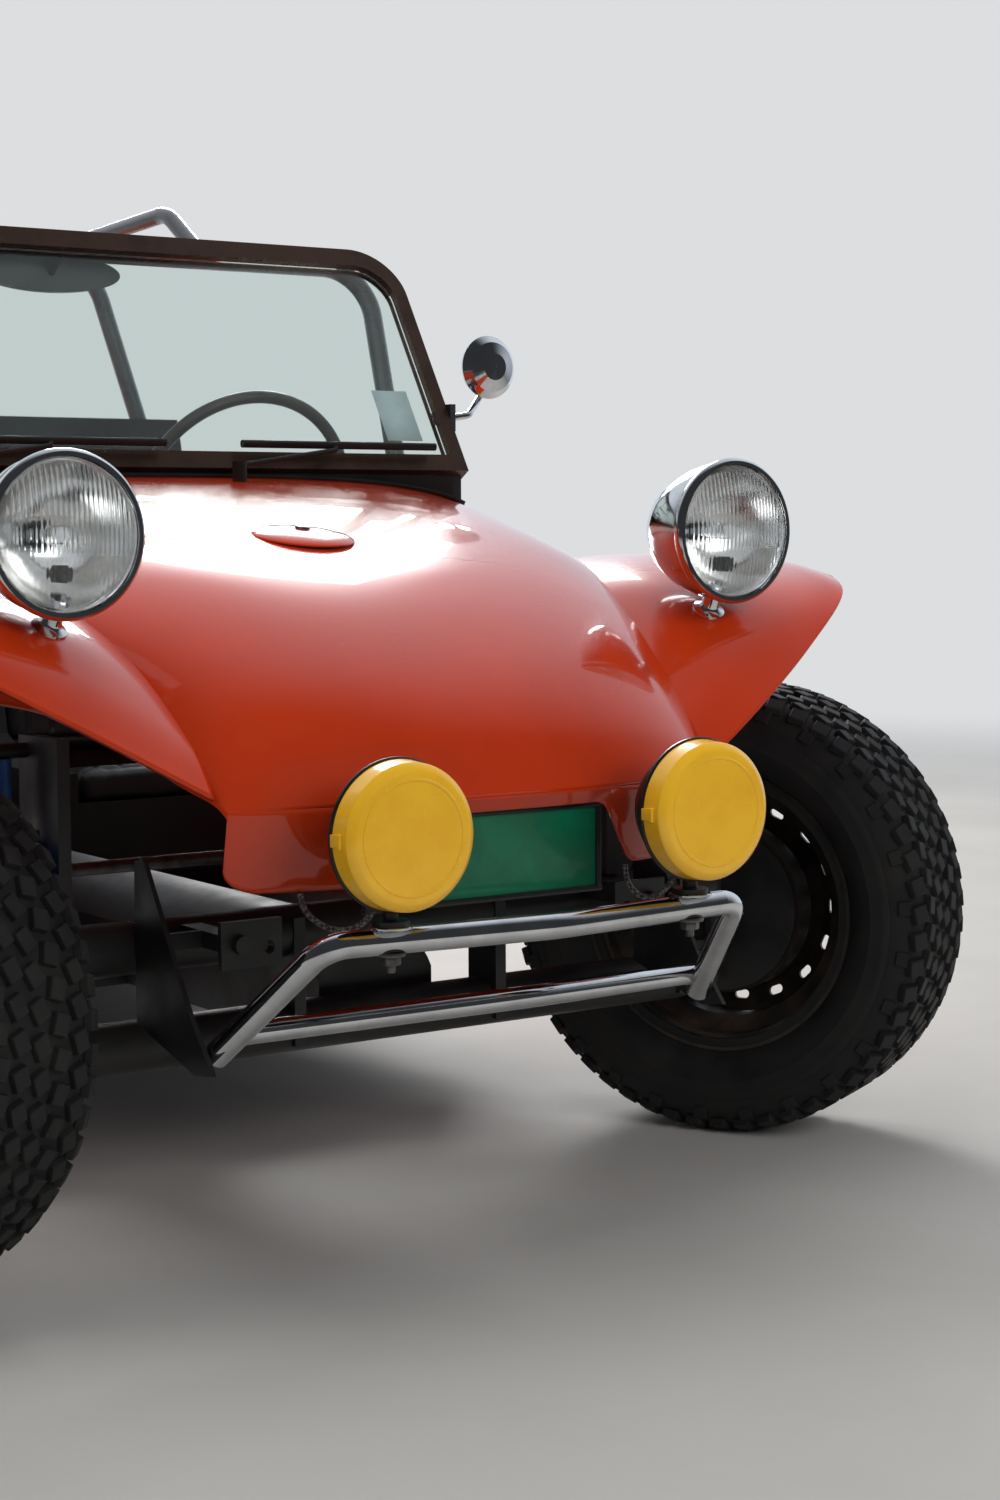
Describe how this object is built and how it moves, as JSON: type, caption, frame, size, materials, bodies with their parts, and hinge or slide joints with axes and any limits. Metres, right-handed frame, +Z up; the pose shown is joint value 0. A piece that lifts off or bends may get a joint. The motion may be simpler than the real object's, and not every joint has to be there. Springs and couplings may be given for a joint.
{
  "type": "dune buggy",
  "caption": "Open fibreglass beach buggy with round headlights on its fenders, tube bumper and yellow lamp covers, rear engine, roll cage and wide tyres.",
  "frame": {"origin": "on the ground under the middle of the whole vehicle's box", "axes": "+X to the car's left, +Y to its rear, +Z up; the car faces -Y"},
  "size_m": [1.841, 3.213, 1.4257],
  "materials": {
    "body_gelcoat": "glossy gelcoat",
    "black_vinyl": "grained vinyl",
    "chassis_black": "satin black paint",
    "bronze_frame": "dark bronze",
    "screen_glass": "clear",
    "black_rubber": "satin",
    "chrome_trim": "polished",
    "cage_paint": "grey gloss paint",
    "lamp_black": "gloss black",
    "lamp_yellow": "gloss yellow",
    "lamp_glass": "fluted",
    "plate_green": "blank",
    "shock_blue": "gloss blue",
    "cast_alloy": "cast",
    "shroud_black": "satin",
    "exhaust_steel": "heat-dulled",
    "lamp_red": "gloss red",
    "rod_steel": "plain",
    "wheel_rim_black": "satin",
    "rim_brown": "weathered paint",
    "tyre_rubber": "block tread",
    "drum_iron": "dull"
  },
  "bodies": {
    "root": {"hood": "body_gelcoat", "filler_cap": "body_gelcoat", "front_fender_left": "body_gelcoat", "front_fender_right": "body_gelcoat", "body_tub": "body_gelcoat", "rear_fender_left": "body_gelcoat", "rear_fender_right": "body_gelcoat", "dashboard": "black_vinyl", "floor_pan": "chassis_black", "front_beam": "chassis_black", "front_arms": "chassis_black", "windscreen_frame": "bronze_frame", "windscreen_glass": "screen_glass", "wipers": "black_rubber", "interior_mirror": "chrome_trim", "exterior_mirror": "chrome_trim", "front_hoop": "cage_paint", "main_hoop": "cage_paint", "roof_bars": "cage_paint", "front_bumper": "chrome_trim", "bumper_brackets": "chassis_black", "driving_lamps": "lamp_black", "lamp_covers": "lamp_yellow", "lamp_cable_right": "black_rubber", "lamp_cable_left": "black_rubber", "headlight_shells": "chrome_trim", "headlight_lenses": "lamp_glass", "number_plate": "plate_green", "seat_left": "black_vinyl", "seat_right": "black_vinyl", "steering_column": "chassis_black", "front_shocks": "shock_blue", "rear_shocks": "shock_blue", "rear_arms": "chassis_black", "gearbox": "cast_alloy", "engine": "cast_alloy", "fan_shroud": "shroud_black", "exhaust": "exhaust_steel", "rear_bumper": "chrome_trim", "tail_lamps": "lamp_red"},
    "knuckle_left": {"knuckle_left": "chassis_black"},
    "front_wheel_left": {"front_rim_left": "rim_brown", "front_tyre_left": "tyre_rubber", "front_drum_left": "drum_iron"},
    "rear_wheel_left": {"rear_rim_left": "rim_brown", "rear_tyre_left": "tyre_rubber", "rear_drum_left": "drum_iron"},
    "tie_rod_left": {"tie_rod_left": "rod_steel"},
    "knuckle_right": {"knuckle_right": "chassis_black"},
    "front_wheel_right": {"front_rim_right": "rim_brown", "front_tyre_right": "tyre_rubber", "front_drum_right": "drum_iron"},
    "rear_wheel_right": {"rear_rim_right": "rim_brown", "rear_tyre_right": "tyre_rubber", "rear_drum_right": "drum_iron"},
    "tie_rod_right": {"tie_rod_right": "rod_steel"},
    "pitman_arm": {"pitman_arm": "chassis_black"},
    "steering_wheel": {"steering_wheel": "wheel_rim_black"}
  },
  "joints": [
    {"name": "steer_left", "type": "hinge", "parent": "root", "child": "knuckle_left", "pos_m": [0.61486, -1.09862, 0.327], "axis": [0, 0, 1], "range_deg": [-57.4, 2.6]},
    {"name": "steer_right", "type": "hinge", "parent": "root", "child": "knuckle_right", "pos_m": [-0.63021, -1.09862, 0.327], "axis": [0, 0, 1], "range_deg": [-47.34, 2.33]},
    {"name": "pitman_turn", "type": "hinge", "parent": "root", "child": "pitman_arm", "pos_m": [0.33733, -1.09862, 0.48], "axis": [0, 0, 1], "range_deg": [-57.6, 2.8]},
    {"name": "tie_rod_left_swing", "type": "hinge", "parent": "pitman_arm", "child": "tie_rod_left", "pos_m": [0.28302, -0.99386, 0.47], "axis": [0, 0, 1], "range_deg": [-2.8, 57.6]},
    {"name": "tie_rod_right_swing", "type": "hinge", "parent": "pitman_arm", "child": "tie_rod_right", "pos_m": [0.28302, -0.99386, 0.47], "axis": [0, 0, 1], "range_deg": [-2.8, 57.6]},
    {"name": "steering_wheel_turn", "type": "hinge", "parent": "root", "child": "steering_wheel", "pos_m": [0.33733, -0.1995, 0.92], "axis": [0, 0.9135, 0.4067], "range_deg": [-821.82, 38.18]},
    {"name": "front_left_spin", "type": "hinge", "parent": "knuckle_left", "child": "front_wheel_left", "pos_m": [0.69033, -1.0595, 0.327], "axis": [0.8878, 0.4602, 0], "continuous": true},
    {"name": "front_right_spin", "type": "hinge", "parent": "knuckle_right", "child": "front_wheel_right", "pos_m": [-0.70874, -1.13115, 0.327], "axis": [0.9239, 0.3827, 0], "continuous": true},
    {"name": "rear_left_spin", "type": "hinge", "parent": "root", "child": "rear_wheel_left", "pos_m": [0.69233, 0.9725, 0.355], "axis": [1, 0, 0], "continuous": true},
    {"name": "rear_right_spin", "type": "hinge", "parent": "root", "child": "rear_wheel_right", "pos_m": [-0.70767, 0.9725, 0.355], "axis": [1, 0, 0], "continuous": true}
  ],
  "couplings": [
    {"joint": "steer_right", "follows": "steer_left", "ratio": 0.82117},
    {"joint": "pitman_turn", "follows": "steer_left", "ratio": 1},
    {"joint": "tie_rod_left_swing", "follows": "steer_left", "ratio": -1},
    {"joint": "tie_rod_right_swing", "follows": "steer_left", "ratio": -1},
    {"joint": "steering_wheel_turn", "follows": "steer_left", "ratio": 14.3}
  ]
}
